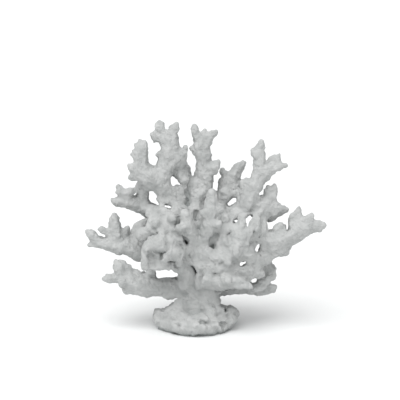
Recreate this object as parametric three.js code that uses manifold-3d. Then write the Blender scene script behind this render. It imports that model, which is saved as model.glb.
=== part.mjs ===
// A branching coral colony, cut flat under its encrusting foot and split at its main forks.
//
// The colony is described by its own growth: a foot, a stem, and main branches that fork from the
// stem or from one another. Every branch is a tapering tube along a smooth path, and carries buds,
// which are shorter tubes with rounded tips. Millimetres, +Z up, origin at the middle of the flat
// cut under the foot, -Y towards the side that is meant to be seen.
import * as THREE from "three";
import { mergeVertices } from "three/addons/utils/BufferGeometryUtils.js";
import Module from "manifold-3d";

const forkGap = 0.34; // clear space left between the two faces of a fork
const smallest = 0.05; // detail finer than this is dropped after the joins
const ringStep = 15; // longest distance between two rings of a branch
const budStep = 16; // the same on a bud
const stemSides = 9;
const branchSides = 7;
const budSides = 5;
const capShare = 0.62; // how far along a branch's rounded tip its last ring lies
const budPoint = 0.85; // length of a bud's blunt point, as a share of its radius
const budSeat = 0.8; // widest root of a bud, as a share of its branch's radius
const shortBud = 13; // buds shorter than this are straight
const budTakeOff = 0.3; // share of a bud's length that still follows its branch
const bend = 0.5; // tension of the curves that the branches follow
const stride = 0.01; // stations walked at a time when a length is measured along a path
const firstAcross = [0.31, 0.17, 0.94]; // where a tube's corners start, turned to its path
const weld = 1e-4; // corners of a solid closer than this are one corner

const coralWhite = { color: 0xc9cccb, roughness: 0.9, metalness: 0 };

const wasm = await Module();
wasm.setup();

// A path through points [x, y, z, radius]. Stations count the points: 0 is the first, 1.5 lies
// halfway between the second and the third.
class Path {
  constructor(points) {
    this.last = points.length - 1;
    this.line = new THREE.CatmullRomCurve3(
      points.map(([x, y, z]) => new THREE.Vector3(x, y, z)),
      false,
      "catmullrom",
      bend,
    );
    this.radii = points.map((p) => p[3]);
  }
  point(station) {
    return this.line.getPoint(station / this.last);
  }
  tangent(station) {
    return this.line.getTangent(station / this.last);
  }
  radius(station) {
    const i = Math.min(Math.floor(station), this.last - 1);
    return THREE.MathUtils.lerp(this.radii[i], this.radii[i + 1], station - i);
  }
  // The station that lies this many millimetres along the path.
  stationAt(distance) {
    let station = 0;
    let gone = 0;
    while (gone < distance && station < this.last - stride) {
      gone += this.point(station).distanceTo(this.point(station + stride));
      station += stride;
    }
    return station;
  }
}

// The stations of the rings between two stations, no further apart than the step.
function ringStations(path, from, to, step) {
  const stations = [from];
  for (let i = Math.floor(from); i < to; i++) {
    const a = Math.max(from, i);
    const b = Math.min(to, i + 1);
    const count = Math.max(1, Math.ceil(path.point(a).distanceTo(path.point(b)) / step));
    for (let k = 1; k <= count; k++) stations.push(a + ((b - a) * k) / count);
  }
  return stations;
}

// A closed tapering tube along a path: a lathe whose height counts its rings, bent so that each
// ring stands across the path. It starts flat and ends "round", "blunt" or "flat". Flat ends can
// be shifted along the path.
function tube(path, { from = 0, to = path.last, sides, step = ringStep, end = "round", shift = [0, 0] }) {
  const stations = ringStations(path, from, to, step);
  const rings = stations.map((s) => ({ centre: path.point(s), along: path.tangent(s), r: path.radius(s) }));
  const last = rings.at(-1);
  rings[0].centre.addScaledVector(rings[0].along, shift[0]);
  last.centre.addScaledVector(last.along, shift[1]);
  const beyond = (share) => last.centre.clone().addScaledVector(last.along, last.r * share);
  if (end === "round") {
    rings.push({ ...last, centre: beyond(capShare), r: last.r * Math.sqrt(1 - capShare ** 2) });
  }
  const reach = { round: 1, blunt: budPoint, flat: 0 }[end];
  rings.push({ ...last, centre: beyond(reach), r: 0 });
  rings.unshift({ ...rings[0], r: 0 });

  let across = new THREE.Vector3(...firstAcross);
  for (const ring of rings) {
    across = across.clone().addScaledVector(ring.along, -across.dot(ring.along)).normalize();
    ring.u = across;
    ring.v = new THREE.Vector3().crossVectors(ring.along, across);
  }
  // A ring of few sides is widened to the area of the round section it stands for.
  const side = (2 * Math.PI) / sides;
  const widening = Math.sqrt(side / Math.sin(side));
  const profile = rings.map((ring, i) => new THREE.Vector2(ring.r * widening, i));
  const lathe = new THREE.LatheGeometry(profile, sides);
  const position = lathe.getAttribute("position");
  for (let i = 0; i < position.count; i++) {
    const ring = rings[Math.round(position.getY(i))];
    const p = ring.centre
      .clone()
      .addScaledVector(ring.u, position.getZ(i))
      .addScaledVector(ring.v, position.getX(i));
    position.setXYZ(i, p.x, p.y, p.z);
  }
  return solid(lathe);
}

// A closed geometry as a manifold-3d solid, without the collapsed faces at its poles.
function solid(geometry) {
  geometry.deleteAttribute("normal");
  geometry.deleteAttribute("uv");
  const merged = mergeVertices(geometry, weld);
  const index = merged.index.array;
  const faces = [];
  for (let i = 0; i < index.length; i += 3) {
    const [a, b, c] = [index[i], index[i + 1], index[i + 2]];
    if (a !== b && b !== c && c !== a) faces.push(a, b, c);
  }
  return new wasm.Manifold(
    new wasm.Mesh({
      numProp: 3,
      vertProperties: new Float32Array(merged.attributes.position.array),
      triVerts: new Uint32Array(faces),
    }),
  );
}

// A bud leaves its branch at a station and ends round at a point: bud(station, [x, y, z], radius at
// its root, radius at its tip, buds of its own).
function bud(station, end, rootRadius, tipRadius, buds = []) {
  return { station, end, rootRadius, tipRadius, buds };
}

function budPath(parent, { station, end, rootRadius, tipRadius }) {
  const root = parent.point(station);
  const tip = new THREE.Vector3(...end);
  const length = root.distanceTo(tip);
  const ends = [
    [...root, Math.min(rootRadius, parent.radius(station) * budSeat)],
    [...tip, tipRadius],
  ];
  if (length < shortBud) return new Path(ends);
  const lead = root.clone().addScaledVector(parent.tangent(station), length * budTakeOff);
  const middle = new THREE.QuadraticBezierCurve3(root, lead, tip).getPoint(1 / 2);
  return new Path([ends[0], [...middle, (rootRadius + tipRadius) / 2], ends[1]]);
}

// The solids of all buds on a path, and of their own buds.
function budSolids(parent, buds) {
  return buds.flatMap((b) => {
    const path = budPath(parent, b);
    return [tube(path, { sides: budSides, step: budStep, end: "blunt" }), ...budSolids(path, b.buds)];
  });
}

// Main branches. Each forks from the node named stem, this many millimetres along its path.
const branches = [
  {
    name: "low_left_branch", stem: "trunk", fork: 22,
    path: [
      [0, 0, 34, 10], [-15, -3, 34.5, 8.5], [-30, -6, 34.8, 7.4],
      [-44, -9, 37.5, 8.6], [-56, -10, 41.5, 9], [-62, -10, 46, 7],
    ],
    buds: [
      bud(4.4, [-66, -12, 56], 7, 4.6),
      bud(4.2, [-75.5, -14, 44.7], 5.5, 3.2),
      bud(3.6, [-60, -12, 32.5], 6.5, 2.8),
      bud(2.2, [-37, -6, 47.5], 5, 2.6),
      bud(3.2, [-50, -9, 47.5], 6, 3),
      bud(2.2, [-22.5, -6, 26.2], 5.5, 2),
      bud(2.8, [-41.5, -9, 29.5], 6, 3.4),
      bud(4, [-63, -20, 42], 5, 2.8),
      bud(2.8, [-46, 7, 43], 5.5, 3),
      bud(3.6, [-58, 4, 40], 5.5, 2.8),
    ],
  },
  {
    name: "mid_left_branch", stem: "trunk", fork: 25,
    path: [
      [-1, 6, 52, 9], [-20, 6, 58, 8], [-38, 4, 62.5, 8.5], [-50, 0, 66, 9],
      [-62, -2, 70.5, 8.4], [-74, -3, 72.5, 6.2], [-84, -4, 73.3, 4.2],
    ],
    buds: [
      bud(5.9, [-90.3, -4, 72.2], 3.6, 1.7),
      bud(5.5, [-89.3, -4, 81.5], 4.6, 3.6),
      bud(4.1, [-69.3, -4, 94.6], 8.4, 4.1, [bud(1, [-80.3, -7, 84.8], 4.5, 2.6)]),
      bud(2.9, [-48, 7, 86.5], 8, 5),
      bud(3.1, [-54, 6, 82], 6.5, 2.8),
      bud(2.3, [-41, 13, 84], 8, 4.5),
      bud(4.5, [-70, 10, 80], 5.5, 3),
    ],
  },
  {
    name: "front_left_branch", stem: "trunk", fork: 21,
    path: [
      [-2, -3, 42, 9], [-10, -12, 52.5, 7.1], [-17.5, -21, 62, 8],
      [-25, -27, 67, 9], [-35, -32, 71, 7.5],
    ],
    buds: [
      bud(2.6, [-26.8, -31, 85.5], 7.5, 3.4),
      bud(3.8, [-41, -40, 76.5], 6, 3.2),
      bud(3.6, [-36, -37, 82.5], 6.5, 3),
      bud(3.7, [-40.3, -37, 60.6], 7, 3.4),
      bud(2.8, [-28, -30, 60.5], 7.5, 4.6),
      bud(3.3, [-35.5, -34, 60], 7, 3.8),
      bud(2.3, [-26, -45, 68], 5, 2.8),
      bud(1.9, [-13, -32, 61], 6, 2.8),
    ],
  },
  {
    name: "left_cluster_branch", stem: "trunk", fork: 18,
    path: [[-1, 0, 70, 8], [-14, -8, 77.5, 8], [-25, -14, 87, 8.5], [-33, -17, 94, 7.5]],
    buds: [
      bud(2.6, [-38.5, -26, 91], 6, 3.5),
      bud(2.7, [-38, -12, 102], 6, 3.2),
      bud(2.2, [-30, -14, 104], 7, 3.2),
      bud(1.7, [-18.5, -28, 100.5], 6, 3.3),
      bud(2.4, [-33, -31, 95.5], 5.5, 3.2),
      bud(1.9, [-35, -14, 77.5], 8, 5),
    ],
  },
  {
    name: "upper_left_branch", stem: "trunk", fork: 20,
    path: [
      [-1, 10, 82, 8], [-20, 14, 91, 7], [-36, 14, 96.5, 7],
      [-48, 12, 103.5, 6.7], [-60, 9, 106.5, 5], [-69.3, 8, 106.6, 3.1],
    ],
    buds: [
      bud(3.3, [-65, 8, 116.8], 6.5, 3.6),
      bud(2.4, [-46.3, 11, 118.5], 6.5, 4.4),
      bud(2.6, [-48, 25, 107], 5, 3),
      bud(3.6, [-60, 18, 104], 4.5, 2.6),
    ],
  },
  {
    name: "left_crown_branch", stem: "trunk", fork: 20,
    path: [
      [-2, 9, 91, 8], [-13, 4, 104, 8], [-22, -1, 115.5, 7.8],
      [-31, -4, 124.5, 8], [-40, -6, 131.5, 9], [-46, -7, 136, 7.5],
    ],
    buds: [
      bud(4.4, [-46.2, -8, 157], 8, 4.5, [bud(1.2, [-52.6, -9, 149.3], 4.2, 2.1)]),
      bud(4.6, [-53.6, -9, 138.5], 7, 3.2),
      bud(4.1, [-53.5, -9, 129.5], 6.5, 2.4),
      bud(1.7, [-14.5, 1, 119], 5.5, 2.6),
      bud(2, [-29.5, -1, 108], 5, 2),
      bud(4.3, [-46, 6, 142], 5, 2.8),
    ],
  },
  {
    name: "top_left_branch", stem: "left_crown_branch", fork: 15,
    path: [
      [-29.5, -4, 125, 7], [-26.3, -3, 136, 7.8], [-23, -2, 146, 8.2],
      [-22, -1, 155, 8], [-23, 0, 163, 7.8],
    ],
    buds: [
      bud(3.6, [-31.3, 0, 173.6], 7, 3.5),
      bud(3.6, [-17.8, 0, 172.2], 7, 3.2),
      bud(3.3, [-36, -1, 164.6], 7.5, 2.3),
      bud(1, [-11.8, -3, 150.3], 8, 4.8),
      bud(2.1, [-30.7, -2, 148], 5, 2),
      bud(2.6, [-20, 12, 158], 5.5, 3),
    ],
  },
  {
    name: "crown_back_branch", stem: "trunk", fork: 20,
    path: [[-1, 14, 97, 7], [-5.5, 21, 112, 7], [-8.5, 24, 122, 6.6], [-10, 25, 129.5, 5.5]],
    buds: [
      bud(2.2, [-15, 27, 135], 5.5, 2.4),
      bud(2.6, [-7.5, 26, 134.5], 5, 2.5),
      bud(2, [-12, 36, 128], 5, 2.8),
    ],
  },
  {
    name: "top_centre_branch", stem: "trunk", fork: 17,
    path: [
      [0, 11, 96, 8.5], [4, 9, 111, 8], [6, 7, 124, 8],
      [7, 5, 136, 6.5], [6.3, 3, 148, 6.3], [4.3, 2, 157, 6.5],
    ],
    buds: [
      bud(4.6, [-1.8, 1, 171.3], 6.2, 2.9),
      bud(4.8, [7, 2, 167.3], 5.5, 2.3),
      bud(4.8, [14.5, 1, 166.3], 5.5, 2.5),
      bud(2.5, [17, -1, 140.8], 7, 3.1),
      bud(3.9, [-2.3, 2, 152], 5, 2.1),
      bud(2.9, [1.2, 12, 139], 5, 2),
      bud(3.4, [8, 16, 150], 5, 2.6),
    ],
  },
  {
    name: "crown_right_branch", stem: "trunk", fork: 19,
    path: [[4, 11, 90, 8], [16, 14, 102, 8], [25, 14, 112, 8.3], [28.5, 13, 121, 9]],
    buds: [
      bud(2.6, [23.2, 12, 132.4], 6.5, 2.3),
      bud(2.6, [38.2, 11, 138.2], 8.5, 3.5),
      bud(2.3, [40, 13, 119.5], 8, 5),
      bud(2.2, [27, 27, 124], 6, 3),
    ],
  },
  {
    name: "right_shoulder_branch", stem: "trunk", fork: 21,
    path: [
      [6, 2, 74, 9], [17, -1, 85.5, 8.2], [28, -4, 95.5, 8], [38, -7, 101.5, 7.5],
      [49, -7, 105, 7.5], [58, -5, 106.5, 7.5], [64.5, -4, 102.5, 7],
    ],
    buds: [
      bud(5.2, [64.8, -4, 120.3], 7.5, 3),
      bud(5, [60.8, -6, 120.2], 5.5, 2),
      bud(5.4, [74.5, -3, 101.7], 7, 3),
      bud(4.7, [57, -9, 95.3], 7, 4.8),
      bud(2, [28.5, -9, 86], 7, 3.2),
      bud(5, [58, 8, 110], 5.5, 3),
    ],
  },
  {
    name: "upper_right_branch", stem: "right_shoulder_branch", fork: 18,
    path: [
      [41, -8, 101, 8], [44.5, -8, 113, 9], [48.5, -7, 124, 9],
      [54, -6, 134, 6.3], [53.6, -6, 143, 5.7],
    ],
    buds: [
      bud(3.8, [54.2, -6, 157], 6, 3.3, [bud(0.9, [48.2, -8, 150.5], 4.2, 2.1)]),
      bud(2.8, [65.3, -8, 138.5], 8.5, 4.6, [
        bud(1.5, [69.6, -8, 147.3], 4.5, 1.7),
        bud(1.6, [71.8, -9, 139.6], 4.8, 2.2),
      ]),
      bud(2.5, [61.5, -9, 130.5], 6, 2),
      bud(1.8, [40, -9, 127], 6, 3),
      bud(2.5, [52, 6, 138], 5.5, 3),
    ],
  },
  {
    name: "far_right_branch", stem: "trunk", fork: 24,
    path: [
      [10, 0, 62, 9], [26, -1, 71, 8], [40, -4, 77, 7.5], [52, -8, 79, 7.2],
      [63, -10, 76.5, 8.3], [74, -10, 78.5, 8.6], [84, -10, 85, 9.3], [93, -10, 89.5, 7.8],
    ],
    buds: [
      bud(5.8, [86.2, -10, 103.2], 8.2, 2.4),
      bud(6.6, [96, -10, 95.7], 6.5, 3.4),
      bud(5.2, [82, -10, 98], 6.5, 3.2),
      bud(6.8, [104.3, -10, 88.2], 6.5, 4.1),
      bud(4.3, [70.3, -12, 88], 7, 4.4),
      bud(2.8, [55, -8, 84.5], 7.5, 4.2),
      bud(4.4, [73.5, -11, 67.7], 8, 4.6),
      bud(3.7, [62.5, -11, 67], 8.5, 5.6),
      bud(5.3, [82.3, -10, 77.3], 6, 3),
      bud(4.4, [70, 4, 82], 6, 3),
      bud(5.6, [86, 3, 91], 6, 3),
    ],
  },
  {
    name: "right_cluster_branch", stem: "trunk", fork: 21,
    path: [[9, -3, 56, 10], [21, -16, 64, 8.5], [33, -24, 73, 8.5], [38, -25, 82, 7.5]],
    buds: [
      bud(2.5, [38.2, -23, 92.2], 7, 3.8),
      bud(1.5, [23.5, -28, 81], 6.5, 3),
      bud(2.1, [32, -21, 89.5], 6, 3.4),
      bud(1.9, [34, -37, 72], 5.5, 3),
      bud(1.3, [26, -34, 62.5], 5.5, 3.2),
      bud(2.3, [50.3, -21, 93], 8, 4.2),
      bud(1.9, [45.5, -22, 69.7], 8, 5),
    ],
  },
  {
    name: "lower_cluster_branch", stem: "trunk", fork: 22,
    path: [
      [6, 2, 48, 9], [23, -8, 48.5, 7], [38, -13, 49.5, 6.8],
      [47, -14, 52.5, 7.4], [51, -14, 57.5, 6.2],
    ],
    buds: [
      bud(2.8, [56, -14, 48.5], 6.5, 3.6),
      bud(2.4, [44, -26, 54.5], 5.5, 3),
      bud(1.8, [34, -24, 57], 6.5, 3.2),
    ],
  },
  {
    name: "front_left_finger", stem: "trunk", fork: 25,
    path: [
      [1, -8, 64, 9], [-2, -17, 78, 7.4], [-5.5, -23, 88, 5.8],
      [-7.6, -27, 96, 5], [-8.5, -28, 103.3, 4],
    ],
    buds: [bud(2.6, [-14.5, -34, 91.5], 5.2, 2.9)],
  },
  {
    name: "front_right_finger", stem: "trunk", fork: 26,
    path: [
      [5, -8, 64, 9], [8.6, -15, 79, 7.4], [12, -20, 92.5, 7.8],
      [13.3, -21, 105.5, 7], [13.4, -21, 119.8, 3.6],
    ],
    buds: [
      bud(2.4, [5.5, -27, 104], 5.5, 2.5),
      bud(2.6, [21.5, -20, 108.5], 6, 3),
      bud(2, [19.5, -31, 94.5], 5.5, 2.7),
    ],
  },
  {
    name: "low_front_branch", stem: "trunk", fork: 25,
    path: [
      [3, 2, 38, 10], [11, -16, 43, 7.4], [25, -26, 44.5, 6.4],
      [37, -31, 43.5, 4.9], [44.8, -33, 41.5, 2.5],
    ],
    buds: [
      bud(1.4, [5, -29, 47], 5.5, 3.6),
      bud(2.1, [27, -37, 48.5], 5.2, 2.8),
    ],
  },
  {
    name: "low_right_branch", stem: "trunk", fork: 22,
    path: [
      [4, 5, 34, 10], [20, 8, 32.5, 7.6], [34, 9, 31.8, 5.6], [46, 9, 31.6, 5.6],
      [56, 8, 34.5, 7.8], [61, 7, 43, 7.8], [58.5, 7, 53, 6.8],
    ],
    buds: [
      bud(4.2, [65.8, 4, 32.3], 6.5, 3.2),
      bud(4.8, [66.2, 4, 43.8], 6.5, 3.3),
      bud(5.2, [66.3, 4, 48.7], 6.5, 3.2),
      bud(3.6, [50.5, 8, 28], 5, 2.2),
      bud(4, [59, 8, 29], 6, 3.2),
      bud(4.3, [54, 20, 42], 5.5, 3),
    ],
  },
  {
    name: "back_low_branch", stem: "trunk", fork: 22,
    path: [[2, 4, 40, 10], [1, 24, 44, 8], [-3, 41, 48, 8]],
    buds: [
      bud(1.9, [-15, 55, 50], 7.5, 3.8),
      bud(1.9, [3, 60, 51], 7.5, 3.6),
      bud(1.5, [-6, 50, 37], 6, 3.4),
      bud(1.5, [-18, 42, 54], 6, 3.2),
    ],
  },
  {
    name: "back_left_branch", stem: "trunk", fork: 22,
    path: [[-1, 6, 56, 9], [-12, 25, 66, 8], [-21, 40, 76, 8]],
    buds: [
      bud(1.9, [-30, 52, 86], 7.5, 3.8),
      bud(1.9, [-15, 57, 84], 7.5, 3.6),
      bud(1.5, [-25, 51, 67], 6.5, 3.4),
      bud(1.6, [-34, 39, 79], 6, 3.4),
    ],
  },
  {
    name: "back_right_branch", stem: "trunk", fork: 22,
    path: [[4, 6, 52, 9], [18, 25, 55, 8], [27, 40, 60, 8]],
    buds: [
      bud(1.9, [20, 55, 70], 7.5, 3.6),
      bud(1.9, [38, 50, 67], 7.5, 3.6),
      bud(1.6, [27, 56, 55], 6.5, 3.4),
      bud(1.5, [33, 42, 41], 6, 3.2),
    ],
  },
  {
    name: "back_top_branch", stem: "trunk", fork: 20,
    path: [[1, 10, 76, 8], [6, 28, 87, 7.8], [9, 41, 95, 7.5]],
    buds: [
      bud(1.8, [10, 46, 109], 7, 3.6),
      bud(1.8, [-5, 51, 99], 7, 3.4),
      bud(1.8, [20, 52, 94], 7, 3.4),
    ],
  },
];

// The foot: a lathe profile [radius, height] from the flat cut to the stem, pushed in and out into
// lobes as an encrusting foot is.
const footProfile = [
  [0, 0], [31, 0], [36.3, 3.5], [38, 8.5], [36, 12],
  [29, 13.7], [21, 15], [17, 20], [13, 28], [0, 30],
];
const footSides = 16;
const footLobes = [[3, 0.045, 0.2], [5, 0.035, 3], [8, 0.03, 4]]; // [count, depth, turn]
function foot() {
  const lathe = new THREE.LatheGeometry(footProfile.map(([r, z]) => new THREE.Vector2(r, z)), footSides);
  const position = lathe.getAttribute("position");
  for (let i = 0; i < position.count; i++) {
    const [x, up, z] = [position.getX(i), position.getY(i), position.getZ(i)];
    const turn = Math.atan2(x, z);
    const lobe = footLobes.reduce((sum, [n, depth, phase]) => sum + depth * Math.sin(n * turn + phase), 1);
    position.setXYZ(i, z * lobe, x * lobe, up);
  }
  return solid(lathe);
}

// The stem's own paths: the main stem, its swelling at the front, and its right shoulder.
const stemPaths = [
  [
    [2, 2, 16, 18], [2.5, 1, 27, 16.5], [2.5, 1, 38, 16.5], [2, 3, 50, 15.5],
    [1, 6, 64, 12.5], [0, 9, 80, 10.5], [-1, 11, 94, 8.5],
  ],
  [[3, 1, 44, 14], [5, -7, 58, 11.8], [4.5, -10, 72, 10.5]],
  [[5, 2, 50, 12], [12, 0, 64, 11], [14, 2, 74, 8]],
];

// The two sides of a fork: what stays on the stem, and the branch with its buds, trimmed to its
// own side of the gap.
function fork({ path, buds, fork }) {
  const line = new Path(path);
  const at = line.stationAt(fork);
  const along = line.tangent(at);
  const face = line.point(at).dot(along) + forkGap / 2;
  const stub = tube(line, { to: at, sides: branchSides, end: "flat", shift: [0, -forkGap / 2] });
  const limb = tube(line, { from: at, sides: branchSides, shift: [forkGap / 2, 0] });
  const branch = wasm.Manifold.union([limb, ...budSolids(line, buds)]);
  return { stub, branch: branch.trimByPlane(along.toArray(), face) };
}

const nodes = new Map();
nodes.set("trunk", [foot(), ...stemPaths.map((p) => tube(new Path(p), { sides: stemSides }))]);
for (const description of branches) {
  const { stub, branch } = fork(description);
  nodes.get(description.stem).push(stub);
  nodes.set(description.name, [branch]);
}

const coral = new THREE.Group();
for (const [name, solids] of nodes) {
  const mesh = wasm.Manifold.union(solids).simplify(smallest).getMesh();
  const geometry = new THREE.BufferGeometry();
  geometry.setAttribute("position", new THREE.BufferAttribute(mesh.vertProperties, 3));
  geometry.setIndex(new THREE.BufferAttribute(mesh.triVerts, 1));
  geometry.computeVertexNormals();
  const branch = new THREE.Mesh(geometry, new THREE.MeshStandardMaterial(coralWhite));
  branch.name = name;
  coral.add(branch);
}

export default coral;
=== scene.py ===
# Branching coral: a bleached colony on its own foot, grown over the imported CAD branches.
# The CAD branches are fused on a fine grid, webbed and softened as coral grows, roughened, and cut
# apart again at the forks, so that every branch is its own piece and the surface runs on unbroken.
import heapq
import math

import bpy
import numpy as np
import openvdb as vdb
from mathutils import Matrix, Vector


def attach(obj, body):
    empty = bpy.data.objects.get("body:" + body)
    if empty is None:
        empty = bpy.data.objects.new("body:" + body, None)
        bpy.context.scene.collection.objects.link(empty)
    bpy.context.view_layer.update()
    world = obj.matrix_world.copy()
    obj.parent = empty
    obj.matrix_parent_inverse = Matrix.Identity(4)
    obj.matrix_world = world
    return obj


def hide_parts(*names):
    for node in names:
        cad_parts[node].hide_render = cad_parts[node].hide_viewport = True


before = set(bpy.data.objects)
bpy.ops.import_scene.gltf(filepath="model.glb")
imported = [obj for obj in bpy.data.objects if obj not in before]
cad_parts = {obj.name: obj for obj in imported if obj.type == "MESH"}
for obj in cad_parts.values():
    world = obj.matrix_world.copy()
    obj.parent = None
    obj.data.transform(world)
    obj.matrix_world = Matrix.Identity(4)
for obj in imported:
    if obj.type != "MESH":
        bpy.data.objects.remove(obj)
scene = bpy.context.scene
millimetre = 0.001
tiny = 1e-9  # least length that anything is divided by


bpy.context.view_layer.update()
print("loaded", len(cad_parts), "branches of the frame")


growth = {
    "grid": 0.65,  # mm between grid points, which sets how fine the surface is
    "quickGrid": 1.0,
    "reach": 7.0,  # mm around each branch in which distances are known
    "web": 1.2,  # mm, radius that fills the crotches between buds
    "soften": 0.7,  # mm, how far the facets and edges are rounded
    "swell": 0.3,  # mm added all over, so that thin buds keep their size
    "solidFrom": 1.0,  # mm above the cut, from which the foot runs on downwards until it is cut
    "recess": 4.5,  # mm, size of the hollows that count as sheltered
    "recessLimit": 6.0,  # mm from the surface beyond which nothing adds to shelter
    "recessGrid": 3,  # how much coarser the grid of the shelter is
    "blurReach": 2.5,  # how far a blur reaches, counted in its own widths
}
gridStep = growth["grid"]


def branchTriangles(node):
    # Points in millimetres and triangles of a CAD branch.
    mesh = node.data
    mesh.calc_loop_triangles()
    points = np.empty(len(mesh.vertices) * 3, np.float32)
    mesh.vertices.foreach_get("co", points)
    triangles = np.empty(len(mesh.loop_triangles) * 3, np.int32)
    mesh.loop_triangles.foreach_get("vertices", triangles)
    return points.reshape(-1, 3) / millimetre, triangles.reshape(-1, 3).astype(np.uint32)


def distances(points, triangles, low, size, quads=None):
    # Distance to a closed surface at each grid point of a block, negative inside.
    steps = growth["reach"] / gridStep
    level = vdb.FloatGrid.createLevelSetFromPolygons(
        points, triangles=triangles, quads=quads,
        transform=vdb.createLinearTransform(voxelSize=gridStep), exBandWidth=steps, inBandWidth=steps)
    block = np.empty(size, np.float32)
    level.copyToArray(block, ijk=tuple(int(v) for v in low))
    return block


def surfaceOf(block, low, offset):
    # The surface that lies offset millimetres outside the one a block of distances describes.
    level = vdb.FloatGrid(growth["reach"])
    level.transform = vdb.createLinearTransform(voxelSize=gridStep)
    level.copyFromArray(block, ijk=tuple(int(v) for v in low))
    return level.convertToPolygons(isovalue=offset)


def blockAround(points):
    margin = growth["reach"] + 2 * gridStep
    low = np.floor((points.min(0) - margin) / gridStep).astype(int)
    high = np.ceil((points.max(0) + margin) / gridStep).astype(int)
    return low, high - low + 1


def blur(block, sigma):
    # Gaussian blur of a block along its three axes; sigma counts grid points.
    half = int(math.ceil(growth["blurReach"] * sigma))
    weights = np.exp(-0.5 * (np.arange(-half, half + 1) / sigma) ** 2)
    weights = (weights / weights.sum()).astype(np.float32)
    for axis in range(3):
        margins = [(half, half) if a == axis else (0, 0) for a in range(3)]
        padded = np.moveaxis(np.pad(block, margins, "edge"), axis, 0)
        count = block.shape[axis]
        total = np.zeros_like(padded[:count])
        for k, weight in enumerate(weights):
            total += weight * padded[k:k + count]
        block = np.moveaxis(total, 0, axis)
    return np.ascontiguousarray(block)


def sample(block, low, points, step=gridStep):
    # The block's value at each point, in a straight line between grid points, and the greatest
    # known distance outside the block.
    place = points / step - low
    base = np.floor(place).astype(int)
    inside = np.all((base >= 0) & (base < np.array(block.shape) - 1), axis=1)
    share = place[inside] - base[inside]
    base = base[inside]
    total = np.zeros(len(base), np.float32)
    for corner in np.ndindex(2, 2, 2):
        weight = np.prod(np.where(corner, share, 1 - share), axis=1)
        i, j, k = (base + corner).T
        total += weight * block[i, j, k]
    values = np.full(len(points), growth["reach"], np.float32)
    values[inside] = total
    return values


stems = ["left_crown_branch", "right_shoulder_branch", "trunk"]  # others fork from these
names = sorted(set(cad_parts) - set(stems)) + stems
shapes = {name: branchTriangles(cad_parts[name]) for name in names}
everything = np.concatenate([points for points, triangles in shapes.values()])
colonyLow, colonySize = blockAround(everything)
colony = np.full(colonySize, growth["reach"], np.float32)
branchBlocks = {}
for name, (points, triangles) in shapes.items():
    low, size = blockAround(points)
    block = distances(points, triangles, low, size)
    branchBlocks[name] = (block, low)
    window = tuple(slice(a, a + n) for a, n in zip(low - colonyLow, size))
    colony[window] = np.minimum(colony[window], block)
print("measured the branches on a grid of", colony.shape)

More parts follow.
